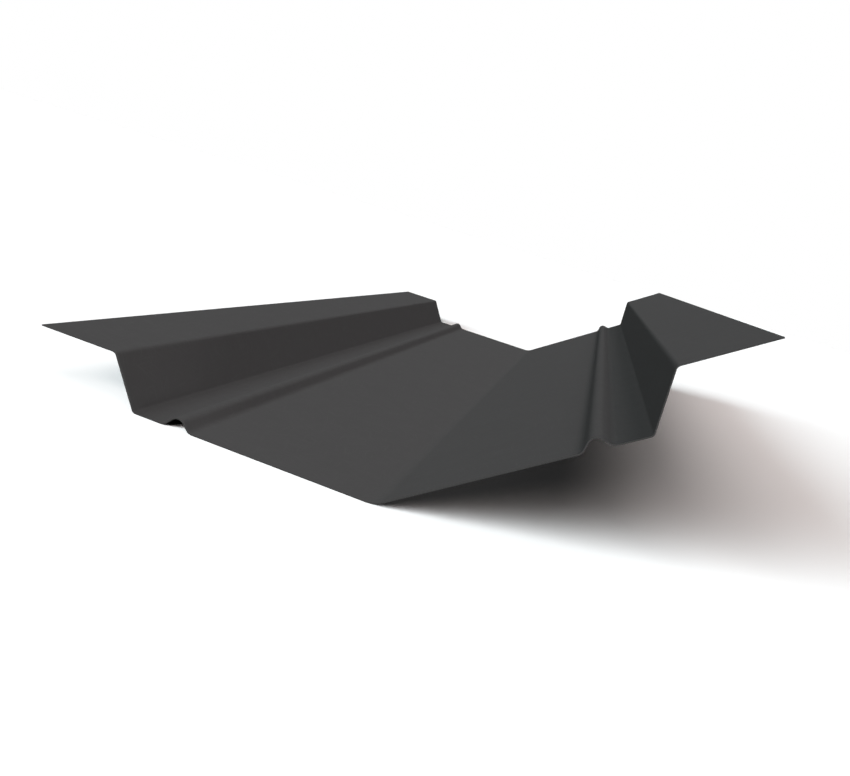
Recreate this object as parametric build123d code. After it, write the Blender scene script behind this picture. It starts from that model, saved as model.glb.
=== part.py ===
from build123d import *
import os
from math import cos, radians, sin, tan

# Valley trough: one thin moulded sheet, bent to a shallow V, that carries rainwater away
# where two roof slopes meet. Each wing climbs from the rounded valley nose along a channel
# with a raised water bar, turns up an upstand, and ends in a flange parallel to the channel.
# Lengths are in millimetres and angles in degrees. The section is drawn on its weather side,
# and every bend radius is the inside radius of that bend.

# The sheet
length = 862.0  # cut end to cut end
sheet_thickness = 0.8

# The channel, one on each side of the valley line
channel_slope = 17.3  # rise from level when the trough lies in its valley
channel_width = 150.0  # valley line to upstand foot, along the slope
nose_radius = 18.0  # rounding of the valley line

# The upstand that holds the water in
upstand_turn = 57.9  # turn out of the channel
upstand_width = 36.0  # foot to head
upstand_foot_radius = 2.5
upstand_head_radius = 3.0

# The flange that lies on the tiling batten
flange_width = 49.7  # upstand head to cut edge

# The water bar, which slows water that crosses the channel
bar_inset = 27.7  # upstand foot to the middle of the bar
bar_rise = 6.2  # crest above the channel
bar_flank_angle = 48.0  # slope of both flanks against the channel
bar_crest_radius = 5.0
bar_foot_radius = 5.0


def step(start, heading, run):
    """The point that lies a run away from start, along a heading measured up from level."""
    angle = radians(heading)
    return (start[0] + run * cos(angle), start[1] + run * sin(angle))


def wing_corners():
    """Corners of the right wing's weather side, from the valley line outwards, each with its radius."""
    crest_radius = bar_crest_radius + sheet_thickness
    apex = bar_rise + crest_radius * (1 / cos(radians(bar_flank_angle)) - 1)
    half_bar = apex / tan(radians(bar_flank_angle))
    flank = apex / sin(radians(bar_flank_angle))

    valley = (0.0, 0.0)
    bar_inner = step(valley, channel_slope, channel_width - bar_inset - half_bar)
    bar_apex = step(bar_inner, channel_slope + bar_flank_angle, flank)
    bar_outer = step(bar_apex, channel_slope - bar_flank_angle, flank)
    foot = step(valley, channel_slope, channel_width)
    head = step(foot, channel_slope + upstand_turn, upstand_width)
    edge = step(head, channel_slope, flange_width)

    corners = [bar_inner, bar_apex, bar_outer, foot, head, edge]
    radii = [
        bar_foot_radius,
        crest_radius,
        bar_foot_radius,
        upstand_foot_radius,
        upstand_head_radius + sheet_thickness,
    ]
    return valley, corners, radii


def trough_section():
    """The closed outline of the sheet, upright in its valley."""
    valley, corners, radii = wing_corners()
    mirrored = [(-x, z) for x, z in reversed(corners)]
    weather_side = FilletPolyline(
        *mirrored, valley, *corners, radius=[*reversed(radii), nose_radius, *radii]
    )
    outline = offset(weather_side, sheet_thickness, side=Side.RIGHT)
    return Plane.XZ * make_face(outline.edges())


def lay_down(trough):
    """Tips the trough onto the underside of its left channel, with the middle of its box above the origin."""
    tipped = Rot(Y=-channel_slope) * trough
    box = tipped.bounding_box()
    return Pos(-box.center().X, -box.center().Y, -box.min.Z) * tipped


trough = lay_down(extrude(trough_section(), length / 2, both=True))

os.makedirs("parts", exist_ok=True)
export_step(trough, "parts/valley_trough.step")
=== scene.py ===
import math

import bpy
from mathutils import Matrix, Vector


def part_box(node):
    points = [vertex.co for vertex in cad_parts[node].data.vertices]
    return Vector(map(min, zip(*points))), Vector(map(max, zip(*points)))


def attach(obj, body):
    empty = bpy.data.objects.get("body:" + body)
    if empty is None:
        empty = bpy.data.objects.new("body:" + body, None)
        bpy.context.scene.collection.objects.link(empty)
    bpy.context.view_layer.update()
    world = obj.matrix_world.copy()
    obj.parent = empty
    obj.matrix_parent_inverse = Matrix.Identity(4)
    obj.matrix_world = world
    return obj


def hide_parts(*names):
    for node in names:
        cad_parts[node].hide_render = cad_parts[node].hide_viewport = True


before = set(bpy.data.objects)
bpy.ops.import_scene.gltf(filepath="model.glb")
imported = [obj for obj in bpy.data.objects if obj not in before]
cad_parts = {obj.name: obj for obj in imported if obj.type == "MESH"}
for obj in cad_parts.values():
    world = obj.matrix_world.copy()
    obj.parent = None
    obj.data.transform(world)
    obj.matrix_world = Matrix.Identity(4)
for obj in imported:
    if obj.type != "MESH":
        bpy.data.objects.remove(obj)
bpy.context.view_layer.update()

mm = 0.001
nearly = 0.01 * mm      # two points this close are one
flatMap = "laid_flat"   # the map of the sheet before it was bent


def cleanDesk():
    # nothing may stay selected or in edit mode from the step before
    if bpy.context.object and bpy.context.object.mode != "OBJECT":
        bpy.ops.object.mode_set(mode="OBJECT")
    bpy.ops.object.select_all(action="DESELECT")


def pickEdges(piece, isWanted):
    # edges whose two ends both pass, left selected in edit mode
    bpy.ops.object.mode_set(mode="EDIT")
    bpy.ops.mesh.select_mode(type="EDGE")
    bpy.ops.mesh.select_all(action="DESELECT")
    bpy.ops.object.mode_set(mode="OBJECT")
    corners = piece.data.vertices
    for edge in piece.data.edges:
        edge.select = all(isWanted(corners[i].co) for i in edge.vertices)
    bpy.ops.object.mode_set(mode="EDIT")


def applyModifier(piece, kind, **settings):
    modifier = piece.modifiers.new(kind.title(), kind)
    for name, value in settings.items():
        setattr(modifier, name, value)
    bpy.ops.object.modifier_apply(modifier=modifier.name)


# The trough, in millimetres and degrees, drawn on its weather side. It lies on its left channel.
trough = {
    "thickness": 0.8,
    "channelSlope": 17.3,      # each channel against level, upright in the valley
    "channelWidth": 150.0,     # valley line to upstand foot
    "noseRadius": 18.0,
    "barInset": 27.7,          # upstand foot to the middle of the water bar
    "barRise": 6.2,
    "barFlank": 48.0,
    "barCrestRadius": 5.0,     # bend radii are inside ones
    "barFootRadius": 5.0,
    "upstandTurn": 57.9,
    "upstandWidth": 36.0,
    "upstandFootRadius": 2.5,
    "upstandHeadRadius": 3.0,
    "flangeWidth": 49.7,
    "facetTurn": 4.0,          # most that one facet of a bend may turn
    "edgeRound": 0.12,         # cut edges are just broken
    "edgeSteps": 2,
    "cutAngle": 60.0,          # a sharper corner than this is a cut edge
    "smoothAngle": 40.0,       # a gentler one is part of a bend
}


def tangent(turn, radius):
    # how far a bend eats into the flat on each side of its corner
    return radius * math.tan(math.radians(abs(turn)) / 2)


def wingFolds(size):
    # outwards from the valley line: each bend and the straight run after it
    crestRadius = size["barCrestRadius"] + size["thickness"]
    flankAngle = math.radians(size["barFlank"])
    apex = size["barRise"] + crestRadius * (1 / math.cos(flankAngle) - 1)
    halfBar = apex / math.tan(flankAngle)
    flank = apex / math.sin(flankAngle)
    flats = [  # from corner to corner
        size["channelWidth"] - size["barInset"] - halfBar,
        flank,
        flank,
        size["barInset"] - halfBar,
        size["upstandWidth"],
        size["flangeWidth"],
    ]
    bends = [  # the turn before each flat and its radius on the weather side
        (2 * size["channelSlope"], size["noseRadius"]),
        (size["barFlank"], size["barFootRadius"]),
        (-2 * size["barFlank"], crestRadius),
        (size["barFlank"], size["barFootRadius"]),
        (size["upstandTurn"], size["upstandFootRadius"]),
        (-size["upstandTurn"], size["upstandHeadRadius"] + size["thickness"]),
    ]
    folds = []
    for i, flat in enumerate(flats):
        ends = bends[i:i + 2]
        straight = flat - sum(tangent(*bend) for bend in ends)
        folds.append((*bends[i], straight))
    return folds


def foldOut(side, edge, folds, facetTurn):
    # from the selected free edge: a spin rolls each bend, an extrude pulls each flat after it
    at, heading = edge, 0.0
    for turn, radius, straight in folds:
        up = Vector((-side * math.sin(heading), 0, math.cos(heading)))
        centre = at + up * math.copysign(radius * mm, turn)
        steps = math.ceil(abs(turn) / facetTurn)
        bpy.ops.mesh.spin(steps=steps, angle=side * math.radians(turn), center=centre, axis=(0, 1, 0))
        heading += math.radians(turn)
        up = Vector((-side * math.sin(heading), 0, math.cos(heading)))
        along = Vector((side * math.cos(heading), 0, math.sin(heading)))
        run = along * straight * mm
        bpy.ops.mesh.extrude_region_move(TRANSFORM_OT_translate={"value": run})
        at = centre - up * math.copysign(radius * mm, turn) + run


def mapLaidFlat(piece):
    # in metres: across the bends, then along them
    mesh = piece.data
    spots = [v.co for v in mesh.vertices]
    sameEnd, partner = {}, {}
    for edge in mesh.edges:
        a, b = edge.vertices
        along = abs(spots[a].y - spots[b].y) > nearly
        for i, j in ((a, b), (b, a)):
            if along:
                partner[i] = j
            else:
                sameEnd.setdefault(i, []).append(j)
    freeEnds = [i for i, near in sameEnd.items() if len(near) == 1]
    here = min(freeEnds, key=lambda i: (spots[i].x, spots[i].y))
    across, distance, last = {}, 0.0, None
    while here is not None:
        across[here] = across[partner[here]] = distance
        onward = [i for i in sameEnd[here] if i != last]
        last, here = here, onward[0] if onward else None
        if here is not None:
            distance += (spots[here] - spots[last]).length
    flat = mesh.uv_layers.new(name=flatMap)
    for loop in mesh.loops:
        flat.data[loop.index].uv = (across[loop.vertex_index], spots[loop.vertex_index].y)


def makeTrough(size):
    low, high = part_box("valley_trough")
    folds = wingFolds(size)
    nose, outer = folds[0], folds[1:]
    lean = math.cos(math.radians(size["upstandTurn"]))
    reach = size["channelWidth"] + size["upstandWidth"] * lean + size["flangeWidth"]
    valleyX = low.x + reach * mm
    deck = low.z + size["thickness"] * mm

    # the left channel is the flat sheet that the rest is bent from
    right = valleyX - tangent(*nose[:2]) * mm
    left = right - nose[2] * mm
    cleanDesk()
    bpy.ops.mesh.primitive_plane_add(size=1, location=((left + right) / 2, 0, deck), calc_uvs=False)
    piece = bpy.context.object
    piece.name = "trough_sheet"
    bpy.ops.transform.resize(value=(right - left, high.y - low.y, 1))
    bpy.ops.object.transform_apply(location=True, rotation=True, scale=True)

    pickEdges(piece, lambda co: co.x < left + nearly)
    foldOut(-1, Vector((left, 0, deck)), outer, size["facetTurn"])
    bpy.ops.object.mode_set(mode="OBJECT")
    pickEdges(piece, lambda co: abs(co.x - right) < nearly and abs(co.z - deck) < nearly)
    foldOut(1, Vector((right, 0, deck)), folds, size["facetTurn"])

    # one skin facing the weather, then its thickness below
    bpy.ops.mesh.select_all(action="SELECT")
    bpy.ops.mesh.remove_doubles(threshold=nearly)
    bpy.ops.mesh.normals_make_consistent(inside=False)
    bpy.ops.object.mode_set(mode="OBJECT")
    widest = max(piece.data.polygons, key=lambda face: face.area)
    if widest.normal.z < 0:
        bpy.ops.object.mode_set(mode="EDIT")
        bpy.ops.mesh.flip_normals()
        bpy.ops.object.mode_set(mode="OBJECT")
    mapLaidFlat(piece)
    applyModifier(piece, "SOLIDIFY", thickness=size["thickness"] * mm, offset=-1, use_even_offset=True)
    applyModifier(piece, "BEVEL", width=size["edgeRound"] * mm, segments=size["edgeSteps"],
                  limit_method="ANGLE", angle_limit=math.radians(size["cutAngle"]))
    bpy.ops.object.shade_smooth_by_angle(angle=math.radians(size["smoothAngle"]))
    applyModifier(piece, "WEIGHTED_NORMAL", keep_sharp=True)  # flats stay flat, only bends shade round
    print("trough folded:", len(piece.data.polygons), "faces")
    return piece, Vector((valleyX, low.y, deck))


def hexColour(code):
    # sRGB hex to the linear values that shaders take
    parts = [int(code[i:i + 2], 16) / 255 for i in (1, 3, 5)]
    linear = [p / 12.92 if p <= 0.04045 else ((p + 0.055) / 1.055) ** 2.4 for p in parts]
    return (*linear, 1.0)


def newMaterial(name):
    material = bpy.data.materials.new(name)
    material.use_nodes = True
    material.node_tree.nodes.clear()
    return material, material.node_tree


def addNode(tree, kind, settings=None, inputs=None, links=None):
    # settings are the node's own, inputs are socket values, links are sockets fed by (node, output)
    node = tree.nodes.new(kind)
    for name, value in (settings or {}).items():
        setattr(node, name, value)
    for name, value in (inputs or {}).items():
        node.inputs[name].default_value = value
    for name, (source, output) in (links or {}).items():
        tree.links.new(source.outputs[output], node.inputs[name])
    return node


# Glass-reinforced polyester, pressed between matt films: a dead flat grey, faintly clouded, with the
# chopped glass just printing through
grp = {
    "pigment": "#484848",
    "cloud": "#4a4a4a",          # where the resin lies thicker
    "strand": "#4c4c4c",         # over the glass
    "cloudSize": 40.0,           # mm
    "cloudNoise": (4.0, 0.55),   # detail and roughness of the noise
    "strandSize": (0.7, 26.0),   # mm, width and length
    "strandTurns": (9, 58, 97, 148),
    "strandCut": (0.58, 0.76),   # only the tops of the noise are strands
    "strandDetail": 1.0,
    "swaySize": 70.0,            # mm, strands wander over about this far
    "sway": 22.0,                # mm
    "strandRise": 0.010,         # mm
    "grainSize": 1.1,            # mm, drawn about four times as coarse as the film's so that it shows
    "grainRise": 0.012,          # mm
    "grainNoise": (2.0, 0.6),
    "grainSpan": (0.3, 0.7),     # most of the noise lies between these
    "roughness": (0.90, 0.98),
    "ior": 1.5,
    "specular": 0.002,           # no sheen shows on it, even along the sheet
}


def makeGrp(finish):
    material, tree = newMaterial("grp_matt_pressed")
    place = addNode(tree, "ShaderNodeTexCoord")
    flat = addNode(tree, "ShaderNodeUVMap", {"uv_map": flatMap})
    detail, rough = finish["cloudNoise"]
    clouds = addNode(tree, "ShaderNodeTexNoise", links={"Vector": (place, "Object")}, inputs={
        "Scale": 1 / (finish["cloudSize"] * mm), "Detail": detail, "Roughness": rough})
    detail, rough = finish["grainNoise"]
    grain = addNode(tree, "ShaderNodeTexNoise", links={"Vector": (place, "Object")}, inputs={
        "Scale": 1 / (finish["grainSize"] * mm), "Detail": detail, "Roughness": rough})

    # strands lie in every direction: the same stretched noise, turned, on a map that sways
    drift = addNode(tree, "ShaderNodeTexNoise", links={"Vector": (flat, "UV")}, inputs={
        "Scale": 1 / (finish["swaySize"] * mm), "Detail": finish["strandDetail"]})
    swayed = addNode(tree, "ShaderNodeVectorMath", {"operation": "MULTIPLY_ADD"}, links={
        0: (drift, "Color"), 2: (flat, "UV")}, inputs={1: (finish["sway"] * mm,) * 3})
    width, length = finish["strandSize"]
    cutLow, cutHigh = finish["strandCut"]
    strands = None
    for turn in finish["strandTurns"]:
        lie = addNode(tree, "ShaderNodeMapping", {"vector_type": "TEXTURE"}, inputs={
            "Rotation": (0, 0, math.radians(turn)), "Scale": (width * mm, length * mm, 1.0)},
            links={"Vector": (swayed, "Vector")})
        streaks = addNode(tree, "ShaderNodeTexNoise", links={"Vector": (lie, "Vector")}, inputs={
            "Scale": 1.0, "Detail": finish["strandDetail"]})
        ridges = addNode(tree, "ShaderNodeMapRange", {"interpolation_type": "SMOOTHSTEP"}, inputs={
            "From Min": cutLow, "From Max": cutHigh}, links={"Value": (streaks, "Fac")})
        if strands:
            ridges = addNode(tree, "ShaderNodeMath", {"operation": "MAXIMUM"}, links={
                0: (strands, 0), 1: (ridges, "Result")})
        strands = ridges

    # a colour mix takes its factor at 0 and its colours at 6 and 7, and gives the result at 2
    resin = addNode(tree, "ShaderNodeMix", {"data_type": "RGBA"}, links={0: (clouds, "Fac")}, inputs={
        6: hexColour(finish["pigment"]), 7: hexColour(finish["cloud"])})
    colour = addNode(tree, "ShaderNodeMix", {"data_type": "RGBA"}, inputs={7: hexColour(finish["strand"])},
                     links={0: (strands, 0), 6: (resin, 2)})
    grainLow, grainHigh = finish["grainSpan"]
    dull, dullest = finish["roughness"]
    matt = addNode(tree, "ShaderNodeMapRange", links={"Value": (grain, "Fac")}, inputs={
        "From Min": grainLow, "From Max": grainHigh, "To Min": dull, "To Max": dullest})
    height = addNode(tree, "ShaderNodeMath", {"operation": "MULTIPLY_ADD"}, links={
        0: (strands, 0), 2: (grain, "Fac")}, inputs={1: finish["strandRise"] / finish["grainRise"]})
    relief = addNode(tree, "ShaderNodeBump", links={"Height": (height, "Value")}, inputs={
        "Strength": 1.0, "Distance": finish["grainRise"] * mm})
    body = addNode(tree, "ShaderNodeBsdfPrincipled", inputs={
        "IOR": finish["ior"], "Specular IOR Level": finish["specular"]}, links={
        "Base Color": (colour, 2), "Roughness": (matt, "Result"), "Normal": (relief, "Normal")})
    addNode(tree, "ShaderNodeOutputMaterial", links={"Surface": (body, "BSDF")})
    print("finish mixed:", material.name)
    return material


# The floor looks white, but throws back no more light than a grey one
floorPlan = {"size": 60.0, "seen": "#ffffff", "bounce": "#3f3f3f"}  # size in metres


def seenRays(tree):
    # 1 for the rays that show a surface to the eye: straight, mirrored or through glass
    path = addNode(tree, "ShaderNodeLightPath")
    mirrored = addNode(tree, "ShaderNodeMath", {"operation": "MAXIMUM"}, links={
        0: (path, "Is Glossy Ray"), 1: (path, "Is Transmission Ray")})
    return addNode(tree, "ShaderNodeMath", {"operation": "MAXIMUM"}, links={
        0: (path, "Is Camera Ray"), 1: (mirrored, "Value")})


def makeFloor(plan):
    cleanDesk()
    bpy.ops.mesh.primitive_plane_add(size=plan["size"], location=(0, 0, 0))
    floor = bpy.context.object
    floor.name = "floor"
    material, tree = newMaterial("floor_white")
    bounce = addNode(tree, "ShaderNodeBsdfDiffuse", inputs={"Color": hexColour(plan["bounce"])})
    seen = addNode(tree, "ShaderNodeBsdfDiffuse", inputs={"Color": hexColour(plan["seen"])})
    pick = addNode(tree, "ShaderNodeMixShader", links={
        "Fac": (seenRays(tree), "Value"), 1: (bounce, "BSDF"), 2: (seen, "BSDF")})
    addNode(tree, "ShaderNodeOutputMaterial", links={"Surface": (pick, "Shader")})
    floor.data.materials.append(material)
    print("floor laid")
    return floor


# The camera stands before the near end, placed from the valley line's near end, with the trough upright:
# millimetres and degrees
camera = {
    "x": 117.6, "y": -386.3, "z": 123.1,
    "yaw": 13.02,      # to the left of the valley line
    "pitch": 8.42,     # down
    "lens": 32.66,
    "sensor": 36.0,
    "nearest": 10.0,   # what is closer isn't drawn
}


def placeCamera(view, valley, tip):
    data = bpy.data.cameras.new("camera")
    data.sensor_fit = "HORIZONTAL"
    data.sensor_width = view["sensor"]
    data.lens = view["lens"]
    data.clip_start = view["nearest"] * mm
    eye = bpy.data.objects.new("camera", data)
    bpy.context.scene.collection.objects.link(eye)
    stand = Vector((view["x"], view["y"], view["z"])) * mm
    eye.matrix_world = (
        Matrix.Translation(valley) @ tip @ Matrix.Translation(stand)
        @ Matrix.Rotation(math.radians(view["yaw"]), 4, "Z")
        @ Matrix.Rotation(math.radians(90 - view["pitch"]), 4, "X")
    )
    bpy.context.scene.camera = eye
    print("camera placed")


# Lamps far off: where each stands, in degrees, its share of light and how wide it looks. These light the
# trough alone, set for it upright: they tip with it, so a height below nought is still above the floor.
troughLamps = [
    {"name": "warm_right", "azimuth": 51.5, "height": 46.1, "share": 0.785, "wide": 28, "colour": "#fff9fa"},
    {"name": "cool_left", "azimuth": -39.1, "height": 52.3, "share": 0.565, "wide": 24, "colour": "#f7feff"},
    {"name": "low_right", "azimuth": 110, "height": -14.5, "share": 0.2, "wide": 22, "colour": "#ffffff"},
    {"name": "level_right", "azimuth": 90, "height": -16.7, "share": 0.6, "wide": 1, "colour": "#ffffff"},
    {"name": "level_front", "azimuth": 180, "height": 0.5, "share": 0.8, "wide": 0.8, "colour": "#ffffff"},
]
# These light the floor alone, so that the shadow falls to the right and fades outwards
floorLamps = [
    {"name": "floor_front", "azimuth": -156, "height": 25.5, "share": 1.14, "wide": 38, "colour": "#fff5f2"},
    {"name": "floor_left", "azimuth": -138, "height": 14.5, "share": 2.0, "wide": 29, "colour": "#e8faff"},
    {"name": "floor_high", "azimuth": 175, "height": 65, "share": 0.22, "wide": 42, "colour": "#fff5f2"},
]
sky = {"seen": 1.0, "fill": 0.003}  # white to the eye, next to nothing as light


def placeLamps(plan, lean, lit):
    alone = bpy.data.collections.new(lit.name + "_alone")
    alone.objects.link(lit)
    for lamp in plan:
        data = bpy.data.lights.new(lamp["name"], "SUN")
        data.energy = lamp["share"] * math.pi
        data.angle = math.radians(lamp["wide"])
        data.color = hexColour(lamp["colour"])[:3]
        light = bpy.data.objects.new(lamp["name"], data)
        bpy.context.scene.collection.objects.link(light)
        # azimuth runs clockwise from straight behind the trough
        light.matrix_world = (
            lean @ Matrix.Rotation(-math.radians(lamp["azimuth"]), 4, "Z")
            @ Matrix.Rotation(math.radians(lamp["height"] - 90), 4, "X")
        )
        light.light_linking.receiver_collection = alone
    print("lamps on", lit.name + ":", len(plan))


def makeSky(plan):
    world = bpy.data.worlds.new("white_sky")
    bpy.context.scene.world = world
    world.use_nodes = True
    tree = world.node_tree
    tree.nodes.clear()
    white = (1, 1, 1, 1)
    fill = addNode(tree, "ShaderNodeBackground", inputs={"Color": white, "Strength": plan["fill"]})
    seen = addNode(tree, "ShaderNodeBackground", inputs={"Color": white, "Strength": plan["seen"]})
    pick = addNode(tree, "ShaderNodeMixShader", links={
        "Fac": (seenRays(tree), "Value"), 1: (fill, "Background"), 2: (seen, "Background")})
    addNode(tree, "ShaderNodeOutputWorld", links={"Surface": (pick, "Shader")})


sheet, valley = makeTrough(trough)
sheet.data.materials.append(makeGrp(grp))
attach(sheet, "root")
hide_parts("valley_trough")

tip = Matrix.Rotation(-math.radians(trough["channelSlope"]), 4, "Y")
level = Matrix.Identity(4)
floor = makeFloor(floorPlan)
placeCamera(camera, valley, tip)
placeLamps(troughLamps, tip, sheet)
placeLamps(floorLamps, level, floor)
makeSky(sky)
bpy.context.scene.view_settings.view_transform = "Standard"
print("stage set")
